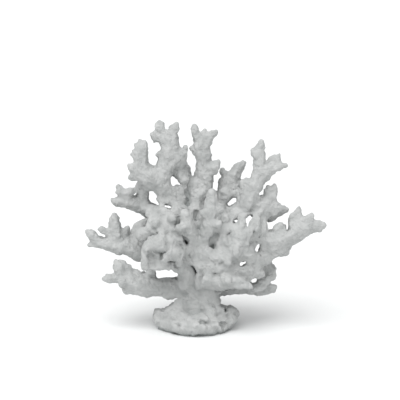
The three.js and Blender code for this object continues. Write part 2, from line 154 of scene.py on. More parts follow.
# Sizes in millimetres. A spur is two points, each placed by its x, the height at which it is seen
# from the front, its y and its radius. A hollow is the same with its depth, to each side of the
# points along the line of sight.
detail = {
    "join": 1.4,  # how softly a spur grows out of its branch
    "edge": 0.8,  # how softly a hollow's rim is rounded
    "rim": 2.0,  # how far outside a hollow its rounded rim can reach
    "sight": (0.985, 0.174),  # cosine and sine of the tilt at which heights are seen
    "seenCut": 5.2,  # seen height of the middle of the flat cut
    "placesPerMm": 2,  # so places are rounded to half a millimetre
    "spurs": [
        # top left branch: tips, knobs, the web and the small finger on its right
        (-32, 175.5, 0, 2.8, -31.5, 178.8, 0, 1.6),
        (-17.5, 173.5, 0, 3, -16.5, 177, 0, 1.6),
        (-35, 168.5, -1, 2.4, -37.8, 168.3, -1, 1.2),
        (-33.6, 164.5, -1, 3.2, -35.4, 167.4, -1, 2.4),
        (-18.3, 136.2, 3, 2.6, -10.3, 129.2, 3, 2.6),
        (-18, 143, 0, 5.5, -9.5, 146, -2, 3.6),
        (-11.5, 148, -3, 3.4, -8.3, 158, -3, 1.9),
        (-16, 140, 4, 4.5, -10, 139, 14, 4.5),
        (-20, 137.5, 0, 3, -15, 137, 6, 3.5),
        (-12, 138, 3, 4.5, -9.5, 126, 2, 4.5),
        (-31.5, 151.5, -2, 3, -33, 151, -2, 1.5),
        # left crown branch: tips, knobs, and what grows between it and the branch below
        (-46.5, 160.5, -8, 3.6, -46.7, 162.4, -8, 1.8),
        (-52, 152, -9, 2.6, -54, 152, -9, 1.3),
        (-53, 141, -9, 3.4, -55.8, 142.5, -9, 1.3),
        (-52, 133.5, -9, 3, -55.8, 131.6, -9, 1.2),
        (-47, 124, 6, 4.4, -44.5, 131, -2, 4.5),
        (-41, 123.8, -4, 2.6, -33.5, 119.5, -3, 2.8),
        (-31, 116, -2, 3, -28, 111, 2, 3),
        (-43, 149, -8, 2.6, -43, 160, -8, 2.2),
        # upper left branch: its two tips
        (-64, 122, 8, 3, -66, 125, 8, 1.7),
        (-69, 112.5, 8, 2.4, -71.3, 113, 8, 1.4),
        (-60.4, 118.4, 7, 3, -55, 120.8, 7, 3),
        # top centre branch: three tips and two knobs
        (-1.2, 173, 1, 2.7, -1.6, 175.4, 1, 1.6),
        (15.5, 169.5, 1, 2.4, 17, 170.8, 1, 1.5),
        (7, 171, 2, 2, 7.3, 172.6, 2, 1.1),
        (-1, 155.5, 2, 3, -3.9, 157, 2, 1.5),
        (15, 140.5, -1, 3.6, 18.8, 145.3, -1, 1.9),
        (15, 136.6, -1, 3, 18, 141.6, -1, 2.4),
        (10.5, 163, 1, 3.6, 11.4, 166.4, 1, 3),
        # crown right branch
        (22.8, 137.5, 12, 2.6, 22.6, 139.6, 12, 1.5),
        (37, 141, 11, 4, 39.8, 144.6, 11, 2.6),
        # upper right branch
        (49.5, 151, -8, 2.6, 47.3, 154.7, -8, 1.6),
        (54.3, 160, -6, 3.4, 54.6, 162.3, -6, 2),
        (68.5, 148, -8, 2.2, 70, 151.7, -8, 1.1),
        (62, 146.8, -8, 2.6, 67.4, 149, -8, 2.2),
        (72, 142, -8, 2.8, 75.2, 142.4, -8, 1.9),
        # right shoulder branch
        (62, 122, -5, 2.6, 61.5, 124, -5, 1.4),
        (60.6, 121.2, -5, 2.4, 60.4, 123.6, -5, 1.6),
        (66.5, 123.5, -4, 2.5, 66.5, 125.6, -4, 1.5),
        (72, 104.2, -3, 2.6, 77, 105.6, -3, 1.5),
        (62, 97, -3, 2.6, 75, 104, -3, 2.2),
        # far right branch: tips, hump and underside
        (86.5, 104.5, -10, 2.4, 87.2, 107.2, -10, 1.2),
        (96.5, 99, -10, 3, 98.3, 101.2, -10, 1.5),
        (104, 92.4, -10, 2.8, 108, 91.8, -10, 1.9),
        (69.5, 90, -12, 4, 70.5, 91.5, -12, 3.2),
        (98, 88, -10, 2.8, 103.4, 88.8, -10, 2.4),
        (66, 68.3, -11, 3.6, 76, 68.3, -11, 2.8),
        (76, 71, -10, 3, 78.8, 72.3, -10, 1.4),
        # low right branch: knobs and underside
        (65.5, 53.5, 6, 2.6, 67.8, 54.3, 6, 1.6),
        (66, 48.5, 5, 2.5, 68, 49, 5, 1.6),
        (65, 38.5, 5, 2.5, 68, 39.2, 5, 1.3),
        (50, 34.8, 8, 3, 57, 34.6, 8, 3),
        (58, 35.5, 8, 2.5, 65, 35.5, 7, 1.8),
        (57, 34.8, 6, 3, 66, 36, 6, 2.6),
        (21, 34, 4, 3.2, 32, 35.6, 4, 3),
        (46, 35.2, 7, 3, 53, 34.6, 7, 3),
        # the mass of short fingers and webs on the right
        (49, 90, -20, 4.6, 50.5, 97.3, -18, 3.6),
        (55.5, 88, -15, 5, 55.5, 95.5, -12, 3.6),
        (58, 72, -10, 5, 60, 64, -8, 5),
        (47, 66, -18, 4.5, 57, 62, -10, 5),
        (45, 71, -21, 4.5, 46, 66, -20, 4.5),
        (30, 63, -22, 5, 45, 64, -20, 4),
        (28, 57, -20, 5.5, 34, 54, -18, 5),
        (22, 70, -22, 6, 22, 84, -20, 5),
        (38.5, 94, -20, 3.6, 39, 99, -15, 3),
        # front left branch: its slope, edge, lip and knob
        (-22, 80, -24, 5, -14, 77, -20, 5),
        (-26, 65, -40, 2.4, -13, 65.5, -34, 2.4),
        (-16, 62, -30, 3.5, -13, 62, -34, 2.6),
        (-43, 73, -34, 2.5, -37, 81, -34, 2.5),
        (-37, 81, -34, 2.5, -30, 85.5, -31, 3),
        (-42, 58, -36, 3, -42, 70, -36, 3),
        (-33, 57.7, -38, 2.6, -23, 57.5, -36, 2.6),
        # mid left branch: tips, knobs and the joint with the cluster
        (-90.5, 86, -4, 2.6, -92, 86.6, -4, 2),
        (-79, 88.5, -7, 3, -81.7, 88.8, -7, 2.2),
        (-69, 98, -4, 3, -69, 100.2, -4, 2.4),
        (-62, 83.4, -2, 2.6, -58.5, 88.4, -2, 2.4),
        (-89, 75.5, -4, 2, -92.2, 74.7, -4, 1.2),
        (-45, 93.5, 6, 3, -40.5, 95.5, 0, 3),
        # low left branch: tips and upper edge
        (-67, 60, -12, 3, -67.5, 61.3, -12, 2.3),
        (-62, 60, -11, 3, -63.5, 61, -11, 2.2),
        (-56, 52, -10, 3, -50, 52, -9, 3),
        (-75, 47, -14, 2.8, -77.4, 46.8, -14, 2.1),
        (-60, 37.6, -12, 3, -40, 33.6, -12, 3),
        (-24, 31.6, -9, 3, -19, 31.6, -9, 3),
        (-59, 57, -11, 2.4, -56.5, 56.4, -11, 2.4),
        (-40, 51.5, -10, 2.6, -37, 53.2, -10, 2),
        # webs between the crown branches
        (-12, 125, 1, 4.6, -14, 112, -1, 5),
        (-22, 118, -2, 5, -15, 120, -2, 4),
        (-13, 134, -2, 3, -9, 129.5, -2, 3.2),
        (-31, 112.5, -6, 3, -19, 111, -6, 3.4),
        (-30, 110.8, -9, 2.2, -24, 111.6, -9, 2.2),
        (-44, 122, 4, 4.5, -42, 112, 7, 5),
        (-6, 108, 5, 6, -7, 130, 9, 5),
        (-1, 106, 0, 5, 0, 128, 3, 4.4),
        (3, 106, -4, 5, 4, 120, 0, 4),
        (8, 118, 2, 5, 10, 132, 2, 4.5),
        (0, 94, -9.5, 6.5, 0.5, 104, -6, 6.5),
        (-14.5, 105, -10, 4.2, -14.5, 97, -15, 4.2),
        (16, 108, 6, 5, 20, 118, 10, 4.5),
        (22, 118, 10, 4.5, 25, 128, 12, 4.5),
        (27, 119.6, -2, 3, 34, 119, -4, 3),
        (22.5, 109, -4, 4.4, 25, 119, -5, 4.4),
        (30, 119, 8, 4, 40, 124, -2, 4.5),
        (36, 118, -2, 3.5, 40, 126, -6, 4),
        (30, 106, -3, 4.5, 44, 104, -7, 4.5),
        # the hand in front on the left
        (-28, 73, -42, 4, -28, 85.5, -36, 3.4),
        (-22, 79.5, -34, 5, -15, 80, -28, 4),
        (-23, 70, -36, 6, -14, 69, -32, 4.6),
        (-37, 76, -38, 4, -31, 77, -42, 4),
        (-16, 72, -28, 6, -8, 70, -22, 6),
        # the heart in front
        (-6, 67, -18, 6, 4, 72, -18, 6),
        (4, 64, -20, 5, 10, 70, -24, 4),
        (8, 61, -20, 6, 20, 58, -22, 5),
        (14, 66, -24, 5, 22, 64, -26, 5),
        (4, 49, -17, 4, 4.5, 41, -16, 4),
        (10, 44, -20, 5, 22, 46, -26, 5),
        (18, 57, -26, 5, 30, 55, -26, 4.5),
        (30, 56, -24, 5, 42, 54, -22, 5),
        (14, 89, -12, 6.5, 31, 100, -11, 6),
        (23, 88, -18, 5, 31, 96, -14, 5),
        (30, 90, -18, 5, 40, 96, -14, 4),
        (50, 102.5, -14, 2.6, 54, 102, -14, 2.6),
        (45, 86, -18, 4.5, 52, 82, -14, 5),
        (52, 84, -12, 5, 58, 82, -10, 5),
        (44, 79, -16, 5, 54, 80, -14, 5),
        (47.6, 69, -16, 1.7, 49.8, 76, -16, 1.7),
        (38, 46.8, -24, 3, 44.2, 46.2, -22, 2.4),
        (36, 49.8, -25, 3.2, 44, 48.6, -22, 3),
        (44, 49.6, -18, 3, 52, 49.2, -12, 3),
        (49.5, 37.6, -8, 3, 56, 40, -4, 3.6),
        (55.8, 43.6, -4, 3.3, 61, 45, -4, 3.6),
        (36, 52.2, -25, 2.4, 40.5, 50.8, -25, 2.4),
        (33.2, 60.5, -21, 2.2, 33.8, 56, -21, 2.4),
        (3.5, 56.3, -23, 3.4, 14, 57.2, -25, 3.4),
        (9, 54.6, -24, 3, 14, 54.2, -26, 3),
        (22, 108, 0, 5, 24, 118, 4, 5),
        (-24, 90, -18, 5, -14, 88, -15, 5),
        (-37, 102, -14, 5, -27, 102.5, -14, 5),
        (-43, 106, 0, 3.6, -34.5, 105.2, -6, 3.2),
        (-27, 102, -14, 5, -17, 101, -14, 5),
        (-18, 106, -6, 5, -11, 104, -9, 5),
        (-36, 93, -22, 5, -24, 92, -22, 5),
        (-45, 84, -16, 5.5, -35, 88, -23, 5),
        (-30, 91, -22, 4, -22, 97, -20, 4),
        (-26, 88, -28, 4.5, -15, 86, -24, 4.5),
        (-12, 61.5, -22, 2.6, -5, 61.5, -22, 2.8),
        (-5, 61.5, -22, 2.8, 2, 57.5, -22, 2.8),
        (2, 57.5, -22, 2.8, 4.5, 51, -20, 2.8),
        (24, 47.5, -31, 3.6, 36, 46, -33, 2.8),
        (36, 45.6, -33, 2.8, 46.5, 42, -33, 1.5),
        (2.5, 50, -22, 2.6, 2.5, 40, -19, 3),
        (-6.5, 53, -15.5, 6, -8, 42, -11, 7),
        (10, 52.5, -21, 4, 22, 52.5, -25, 4),
        (19.5, 35.5, -6, 2.2, 19.5, 35.5, -10, 2.2),
        # the foot's lobes
        (-31, 15, -4, 4.5, -31.5, 10, -4, 5),
        (-22, 17, -14, 5, -10, 14, -24, 5),
        (29, 17, -4, 4.5, 34, 17, -4, 2.6),
        (22, 8, -24, 5.5, 12, 5.5, -30, 4.5),
        (-6, 10, -28, 5, 6, 13, -26, 5),
        (28, 12, -10, 5, 30, 8, -12, 5),
        (23, 19, -15, 5.5, 30.5, 18.6, -7, 4.8),
        (-30, 15.5, -8, 4.6, -23, 18, -14, 5),
        (14, 28, -8, 5.5, 21, 19, -14, 6),
        (8, 26, -14, 5, 12, 17, -20, 5),
        (10, 38, -12, 6, 13, 30, -12, 6),
        (-11.5, 27, -13, 4, -13, 20, -18, 4),
        (22, 103.4, -18, 2.8, 24.5, 98, -20, 3),
        (-12, 30, -8, 5, -17, 21, -14, 5.5),
    ],
    "hollows": [
        # notches between tips
        (-24, 181, 0, 2.3, -24.5, 173, 0, 2.1, 12),
        (-30, 157, -2, 1.6, -30.4, 155.6, -2, 1.5, 12),
        (-52.4, 145.5, -9, 1.6, -54.6, 145.5, -9, 1.6, 12),
        (3.4, 177, 1, 1.8, 3.4, 171.4, 1, 1.5, 12),
        (44.8, 140, -10, 2.7, 44.3, 133.4, -10, 2.7, 13),
        (59.6, 149, -8, 1.6, 59.2, 147, -8, 1.6, 10),
        (58.9, 127.4, -6, 1.9, 53.4, 117.2, -6, 1.5, 18),
        (90.2, 103, -10, 1.6, 91.2, 100.4, -10, 1.4, 12),
        (77, 96, -10, 1.5, 76.9, 88.8, -10, 1.8, 16),
        (64.9, 42.8, 7, 2, 66.6, 42.5, 7, 2, 14),
        (66.8, 60.2, 6, 1.7, 66.6, 58.8, 6, 1.7, 14),
        (-62.4, 65.9, -4, 1.6, -54.6, 63.2, -4, 1.6, 14),
        (-7, 149, -1, 1.2, -7, 146, -1, 1.2, 12),
        (-82.5, 84.2, -6, 0.9, -76.5, 81.8, -6, 0.7, 12),
        # openings right through
        (-20.4, 130.6, 8, 1.9, -19.3, 126.4, 8, 2.1, 30),
        (-18.6, 128.6, 8, 1.6, -13.5, 126.8, 8, 1.4, 30),
        (-37.1, 118.6, 0, 3, -37.9, 114.6, 0, 3.1, 32),
        (-37, 116.4, 0, 2.5, -34.4, 116.7, 0, 2.3, 32),
        (-37, 112.9, 0, 2.8, -32.8, 110.3, 0, 1.9, 32),
        (-24.8, 107.6, -2, 1.8, -21.3, 106.7, -2, 1.7, 34),
        (18.1, 127, 8, 1.5, 17.9, 120.8, 8, 1.3, 25),
        (28.2, 109.8, 4, 2.5, 33.1, 113.2, 4, 2.5, 30),
        (42.7, 97.6, -8, 1.9, 45.6, 99.2, -8, 1.9, 30),
        (42.8, 96.5, -8, 1.7, 43.1, 90.8, -8, 1.4, 30),
        (53, 75.6, -12, 1.8, 51.4, 70.8, -12, 1.5, 28),
        (38.2, 59.1, -10, 2.1, 41, 60.4, -10, 1.9, 34),
        (48.4, 42.9, -6, 2.1, 50.8, 44, -6, 2.2, 30),
        (32.2, 94.6, -6, 1.5, 34.6, 95.6, -6, 1.5, 32),
        (30.8, 95.5, -20, 0.9, 35.5, 99, -18, 0.9, 5),
        # dark crevices
        (19, 59.3, -30, 0.7, 23, 62.2, -30, 0.9, 9.4),
        (16, 51, -30, 0.7, 25, 53.2, -30, 0.7, 9),
        (33, 70.3, -32, 0.7, 36, 71.5, -32, 0.7, 12),
        (25.2, 83.2, -26, 0.7, 29.5, 86.6, -26, 1, 13),
        (62.6, 87, -18, 0.6, 63.2, 80, -18, 0.6, 8),
        (43.5, 77.6, -28, 0.7, 56, 78.2, -20, 0.7, 6),
        (48, 87, -24, 1.6, 48, 80.5, -24, 1.6, 2),
        (14, 77.4, -26, 3.9, 17, 83.6, -27, 3.2, 3.4),
        (12.8, 75.4, -27, 1.9, 15.5, 76.8, -27, 1.9, 1.8),
        (-11.8, 83.8, -26, 0.9, -8.2, 76.8, -26, 1.6, 8),
        (-39, 71, -47, 1.1, -25.5, 70.3, -47, 1.5, 8),
        (-28, 69, -44, 1.7, -27.8, 64.8, -44, 1.6, 7),
        (-36.5, 65.3, -47, 4.2, -36, 60, -47, 4.2, 8),
        (-7.8, 59.4, -22, 0.7, -3, 57.7, -22, 0.9, 12),
        (-3, 57.7, -22, 0.9, 0.3, 53, -22, 1.2, 6),
        (0.3, 53, -22, 1.1, -0.6, 50.5, -21, 0.8, 5),
        (-0.6, 50, -20, 0.7, -1.2, 39, -20, 0.7, 4),
        # the dark bands between the crown branches
        (-8, 120.2, -5, 2, -6.6, 115, -5, 2.4, 3.4),
        (7.6, 119, -8, 0.8, 6.4, 109, -8, 1, 4),
        (16.7, 100.3, -28, 0.9, 16.5, 97.9, -28, 0.9, 9),
        (-14.8, 97, -24, 1.8, -14.8, 94.3, -24, 1.9, 4),
        (-34, 84.2, -40, 1.6, -31, 86, -40, 1.2, 9),
        (36, 101.2, -22, 0.8, 46, 104.2, -20, 0.8, 7),
        (46, 104.2, -19, 0.8, 54, 104.8, -16, 0.7, 6),
        (0.2, 102, -17, 2.8, 0, 97, -16, 1.8, 4),
        # under the hand's plate
        (-27, 63, -38, 0.9, -17, 62, -33, 1, 7.4),
        (26, 38.4, -36, 1.4, 45, 38.2, -36, 1.2, 9),
        (15.5, 52.4, -14, 0.5, 15.8, 47, -16, 0.5, 2),
        (-17, 60, -30, 2.4, -15, 57, -26, 2.4, 2),
        (-15.5, 52, -16, 0.9, -15.3, 49, -14, 1, 4),
        # dents in the foot
        (-15.5, 8.5, -34.6, 2.4, -14.5, 7, -34.6, 2.4, 1),
        (4.5, 10, -36.2, 2.8, 19, 10.8, -32.4, 2.8, 1),
        (21.5, 8.5, -29.4, 3, 26, 6.5, -26.6, 3, 1),
        (25.6, 21.5, -14, 1.6, 25.2, 19, -14, 1.6, 5),
        # the foot's ragged outline
        (-36, 22.4, 0, 3, -29.9, 22.4, 0, 3, 45),
        (-29.2, 21.2, 0, 2.2, -18.8, 26.9, 0, 2, 45),
        (-18.6, 28.2, 0, 1.4, -15.8, 29.9, 0, 1.2, 45),
        (22.8, 25, 0, 3.2, 31, 25.3, 0, 3.4, 45),
        (-36, 21, 22, 3, -29.9, 21, 22, 3, 20),
        (-29.2, 19.4, 22, 2.2, -18.8, 25.2, 22, 2, 20),
        (22.8, 23.4, 22, 3.2, 31, 23.7, 22, 3.4, 20),
        (33.1, 22.8, 22, 3.2, 38.9, 17, 22, 3.2, 20),
        (33.1, 24.4, 0, 3.2, 38.9, 18.6, 0, 3.2, 45),
        (39.6, 15.2, 0, 3, 34.4, 7.2, 0, 3, 45),
        (34.2, 6.8, 0, 3, 28.7, 0.8, 0, 3, 45),
        (-38.6, 10, 0, 3, -32.9, 2.4, 0, 3, 45),
    ],
}


cosine, sine = detail["sight"]
wornAlong = np.array([0.0, cosine, -sine])


def snapped(value):
    # A place on the half millimetre.
    return round(value * detail["placesPerMm"]) / detail["placesPerMm"]


def endsOf(row):
    # The two points of a spur or hollow, each as x, y, z and radius.
    ends = []
    for x, seen, y, radius in (row[:4], row[4:8]):
        z = (seen - detail["seenCut"] - sine * y) / cosine
        ends.append((snapped(x), snapped(y), snapped(z), radius))
    return ends


def taper(places, start, end):
    # Distance from each place to a tapering rod with round ends.
    a, b = np.array(start[:3]), np.array(end[:3])
    along = ((places - a) @ (b - a) / max(np.sum((b - a) ** 2), tiny)).clip(0, 1)
    gap = places - a - along[..., None] * (b - a)
    return np.sqrt((gap ** 2).sum(-1)) - start[3] - (end[3] - start[3]) * along


def softMin(a, b, width):
    overlap = (width - np.abs(a - b)).clip(0) / width
    return np.minimum(a, b) - overlap ** 2 * width / 4


def around(start, end, margin):
    # The window of the colony's grid around two points, and the places of its grid points.
    ends = np.array([start[:3], end[:3]])
    low = np.floor((ends.min(0) - margin) / gridStep).astype(int) - colonyLow
    high = np.ceil((ends.max(0) + margin) / gridStep).astype(int) - colonyLow + 1
    low, high = low.clip(0), np.minimum(high, colonySize)
    window = tuple(slice(a, b) for a, b in zip(low, high))
    steps = [np.arange(a, b) for a, b in zip(low + colonyLow, high + colonyLow)]
    return window, np.stack(np.meshgrid(*steps, indexing="ij"), axis=-1) * gridStep


for spur in detail["spurs"]:
    start, end = endsOf(spur)
    window, places = around(start, end, max(start[3], end[3]) + growth["reach"])
    colony[window] = softMin(colony[window], taper(places, start, end), detail["join"])

print("added", len(detail["spurs"]), "spurs")

# The crotches are webbed: the surface goes out by the web's radius and back in again.
points, triangles, quads = surfaceOf(colony, colonyLow, growth["web"])
colony = distances(points, triangles, colonyLow, colonySize, quads=quads) + growth["web"]


def across(end, centre):
    # An end of a hollow moved into the plane through its centre that the hollow is worn across.
    place = np.array(end[:3])
    return np.append(place - (place - centre) @ wornAlong * wornAlong, end[3])


for hollow in detail["hollows"]:
    start, end = endsOf(hollow)
    depth = hollow[8]
    window, places = around(start, end, depth + max(start[3], end[3]) + detail["rim"])
    centre = (np.array(start[:3]) + np.array(end[:3])) / 2
    sunk = (places - centre) @ wornAlong
    width = (start[3] + end[3]) / 2
    side = taper(places - sunk[..., None] * wornAlong, across(start, centre), across(end, centre))
    space = np.hypot((side + width).clip(0), (np.abs(sunk) - depth).clip(0)) - width
    colony[window] = -softMin(-colony[window], space, detail["edge"])

print("sank", len(detail["hollows"]), "hollows")

# The foot runs on below its cut while the surface is softened, and is cut flat afterwards.
cutRow = int(round(growth["solidFrom"] / gridStep)) - colonyLow[2]
colony[:, :, :cutRow] = colony[:, :, cutRow:cutRow + 1]
# How deep each place lies in a recess, blurred: the mask for the dust and painted shade in the
# hollows.
coarse, limit = growth["recessGrid"], growth["recessLimit"]
recesses = colony[::coarse, ::coarse, ::coarse].clip(-limit, limit)
recesses = blur(recesses, growth["recess"] / gridStep / coarse)
colony = blur(colony, growth["soften"] / gridStep)
points, triangles, quads = surfaceOf(colony, colonyLow, growth["swell"])
triangles = np.concatenate([triangles, quads[:, [0, 1, 2]], quads[:, [0, 2, 3]]]).astype(np.int64)


def facing(points, triangles):
    # Twice the area of each triangle along its normal.
    a, b, c = (points[triangles[:, k]] for k in range(3))
    return np.cross(b - a, c - a)


def vertexNormals(points, triangles):
    faces = facing(points, triangles)
    normals = np.empty_like(points)
    for axis in range(3):
        normals[:, axis] = sum(
            np.bincount(triangles[:, k], faces[:, axis], len(points)) for k in range(3))
    return normals / np.linalg.norm(normals, axis=1, keepdims=True).clip(tiny)


def connectedGroups(count, edges):
    # A group number for each point, the same for points that the edges join.
    group = np.arange(count)
    while True:
        low = np.minimum(group[edges[:, 0]], group[edges[:, 1]])
        before = group.copy()
        np.minimum.at(group, edges[:, 0], low)
        np.minimum.at(group, edges[:, 1], low)
        group = group[group]
        if np.array_equal(group, before):
            return group


def edgesOf(triangles):
    return np.concatenate([triangles[:, [0, 1]], triangles[:, [1, 2]], triangles[:, [2, 0]]])


def largestBody(points, triangles):
    # Drops the walls of sealed hollows and loose crumbs.
    group = connectedGroups(len(points), edgesOf(triangles))
    triangles = triangles[group[triangles[:, 0]] == np.bincount(group).argmax()]
    used, triangles = np.unique(triangles, return_inverse=True)
    return points[used], triangles.reshape(-1, 3)


points, triangles = largestBody(points, triangles)
if np.sum(points[triangles[:, 0]] * facing(points, triangles)) < 0:
    triangles = triangles[:, ::-1]
nearness = np.stack([sample(block, low, points) for block, low in branchBlocks.values()], axis=1)
shelter = sample(recesses, colonyLow / coarse, points, gridStep * coarse)
print("grew a surface of", len(triangles), "triangles")

relief = {
    "swellings": (11.0, 0.7),  # mm across and mm high
    "lumps": (5.0, 0.6),
    "grains": (2.2, 0.27),
    "streaks": (2.6, 0.45),  # the same for ridges that run out along the branches
    "heart": (2.0, 4.0, 36.0),  # where those ridges run out from
    "span": 80.0,  # mm from the heart at which they are as wide as given
    "drift": 0.22,  # how soon they fade into one another
    "streakFoot": (24.0, 36.0),  # mm above the cut between which they set in
    "crags": (9.0, 2.4),  # the same for the ridges of the foot
    "cragTop": (14.0, 26.0),  # mm above the cut between which the crags die out
    "valley": 0.4,  # noise from which a ridge turns into a valley
    "knobs": (5.5, 1.9, 0.6),  # mm apart, mm in radius, mm high
    "knobRoom": (0.1, 0.9),  # share of a cell within which its knob lies
    "seed": 4,
    "streakSeed": 9,
    "cragSeed": 11,
    "repeat": 48,  # cells after which the noise repeats
}


def latticeNoise(points, cell, seed):
    # Smooth noise between -1 and 1 that changes over a cell's width.
    size = relief["repeat"]
    table = np.random.default_rng(seed).uniform(-1, 1, (size, size, size)).astype(np.float32)
    place = points / cell
    base = np.floor(place).astype(int)
    share = place - base
    share = share * share * (3 - 2 * share)
    total = np.zeros(len(points), np.float32)
    for corner in np.ndindex(2, 2, 2):
        weight = np.prod(np.where(corner, share, 1 - share), axis=1)
        i, j, k = ((base + corner) % size).T
        total += weight * table[i, j, k]
    return total


def ridges(points, cell, seed):
    # Sharp crests and round valleys.
    return relief["valley"] - np.abs(latticeNoise(points, cell, seed))


def knobs(points, spacing, radius, seed):
    # Rounded bumps, one at a random place in each cell: 1 at their tops and 0 between them.
    size = relief["repeat"]
    low, high = relief["knobRoom"]
    table = np.random.default_rng(seed).uniform(low, high, (size, size, size, 3)).astype(np.float32)
    base = np.floor(points / spacing).astype(int)
    nearest = np.full(len(points), np.inf, np.float32)
    for neighbour in np.ndindex(3, 3, 3):
        cell = base + neighbour - 1
        i, j, k = (cell % size).T
        centre = (cell + table[i, j, k]) * spacing
        nearest = np.minimum(nearest, ((points - centre) ** 2).sum(1))
    return (1 - nearest / radius ** 2).clip(0) ** 2


def climb(points, low, high):
    # 0 for points at the height low and 1 at the height high, and held there beyond them.
    return ((points[:, 2] - low) / (high - low)).clip(0, 1)


height = np.zeros(len(points), np.float32)
for turn, name in enumerate(["swellings", "lumps", "grains"]):
    width, rise = relief[name]
    height += rise * latticeNoise(points, width / 2, relief["seed"] + turn)
spacing, radius, rise = relief["knobs"]
height += rise * knobs(points, spacing, radius, relief["seed"])
outward = points - np.array(relief["heart"])
outward *= relief["span"] / np.linalg.norm(outward, axis=1, keepdims=True)
width, rise = relief["streaks"]
low, high = relief["streakFoot"]
streaks = ridges(outward + points * relief["drift"], width, relief["streakSeed"])
height += rise * streaks * climb(points, low, high)
width, rise = relief["crags"]
low, high = relief["cragTop"]
crags = ridges(points, width / 2, relief["cragSeed"])
height += rise * crags * climb(points, high, low)
points = points + vertexNormals(points, triangles) * height[:, None]
print("roughened it")


capping = {
    "level": 4.0,  # mm from the plane of a loop within which another can be a tunnel through its cut
    "spare": 0.3,  # mm outside the coral that an edge over a cut may pass at no cost
    "shun": 30.0,  # mm of length that each further mm outside counts as
    "off": 1e-4,  # mm that a point is moved off a cut that it lies on
    "clear": 0.04,  # share of an edge that a cut keeps from its ends
}


def oneBodyEach(side, triangles):
    # Turns the sign of side where a patch isn't joined to the largest one of its own sign.
    side = np.where(np.abs(side) < capping["off"], capping["off"], side)
    edges = edgesOf(triangles)
    used = np.unique(triangles)
    same = (side[edges[:, 0]] < 0) == (side[edges[:, 1]] < 0)
    group = connectedGroups(len(side), edges[same])
    sizes = np.bincount(group[used], minlength=len(side))
    for sign in (-1, 1):
        kept = used[side[used] * sign > 0]
        strays = kept[group[kept] != group[kept][sizes[group[kept]].argmax()]]
        side[strays] *= -1
    return side


def loopsOf(rim):
    # The closed loops that directed edges make, each as its points in order.
    following = dict(rim.tolist())
    loops = []
    while following:
        start, point = following.popitem()
        loop = [start]
        while point != start:
            loop.append(point)
            point = following.pop(point)
        loops.append(loop)
    return loops


def liesInside(places, loop):
    # Whether a loop's middle is inside another loop, seen square on to that one, and near its plane.
    centre = places.mean(0)
    square = np.linalg.svd(places - centre, full_matrices=False)[2]
    flatPlaces = (places - loop.mean(0)) @ square[:2].T
    angles = np.arctan2(flatPlaces[:, 1], flatPlaces[:, 0])
    turns = np.angle(np.exp(1j * (np.roll(angles, -1) - angles))).sum()
    return abs(turns) > np.pi and abs((loop.mean(0) - centre) @ square[2]) < capping["level"]


def bridged(places, outer, inner):
    # One loop out of two, by way of their nearest points.
    apart = np.linalg.norm(places[outer][:, None] - places[inner][None], axis=2)
    i, j = np.unravel_index(apart.argmin(), apart.shape)
    return outer[:i + 1] + inner[j:] + inner[:j + 1] + outer[i:]


def fillLoop(places, loop):
    # Triangles over a loop, which lose one corner at a time: the shortest new edge goes first, and
    # an edge whose middle is outside the coral goes last.
    ring = places[loop]
    behind = [len(loop) - 1] + list(range(len(loop) - 1))
    ahead = list(range(1, len(loop))) + [0]

    def effort(k):
        start, end = ring[behind[k]], ring[ahead[k]]
        cell = np.rint((start + end) / 2 / gridStep - colonyLow).astype(int)
        outside = max(float(colony[tuple(cell)]) - capping["spare"], 0.0)
        return math.dist(start, end) + capping["shun"] * outside, k, behind[k], ahead[k]

    waiting = [effort(k) for k in range(len(loop))]
    heapq.heapify(waiting)
    filled = []
    while len(filled) < len(loop) - 2:
        cost, k, start, end = heapq.heappop(waiting)
        if (start, end) != (behind[k], ahead[k]):
            continue
        filled.append((loop[start], loop[k], loop[end]))
        ahead[start], behind[end] = end, start
        behind[k] = ahead[k] = -1
        heapq.heappush(waiting, effort(start))
        heapq.heappush(waiting, effort(end))
    return filled


def capsOver(places, rim):
    # Triangles over the loops of a cut. A loop inside another is a tunnel, which stays open.
    caps = []
    loops = sorted(loopsOf(rim), key=len, reverse=True)
    while loops:
        outer = loops.pop(0)
        inner = [loop for loop in loops if liesInside(places[outer], places[loop])]
        loops = [loop for loop in loops if loop not in inner]
        for loop in inner:
            outer = bridged(places, outer, loop)
        caps += fillLoop(places, outer)
    caps = np.array(caps, int).reshape(-1, 3)
    # A bridge can leave a triangle with no width, which is dropped.
    return caps[(caps != np.roll(caps, 1, axis=1)).all(1)]


def crossed(data, side, edges):
    # The data with a new point on each edge, where side is zero, and the numbers of those points.
    unique, index = np.unique(np.sort(edges, axis=1), axis=0, return_inverse=True)
    first, second = side[unique[:, 0]], side[unique[:, 1]]
    share = (first / (first - second)).clip(capping["clear"], 1 - capping["clear"])[:, None]
    fresh = data[unique[:, 0]] * (1 - share) + data[unique[:, 1]] * share
    return np.concatenate([data, fresh]), index.reshape(-1) + len(data)


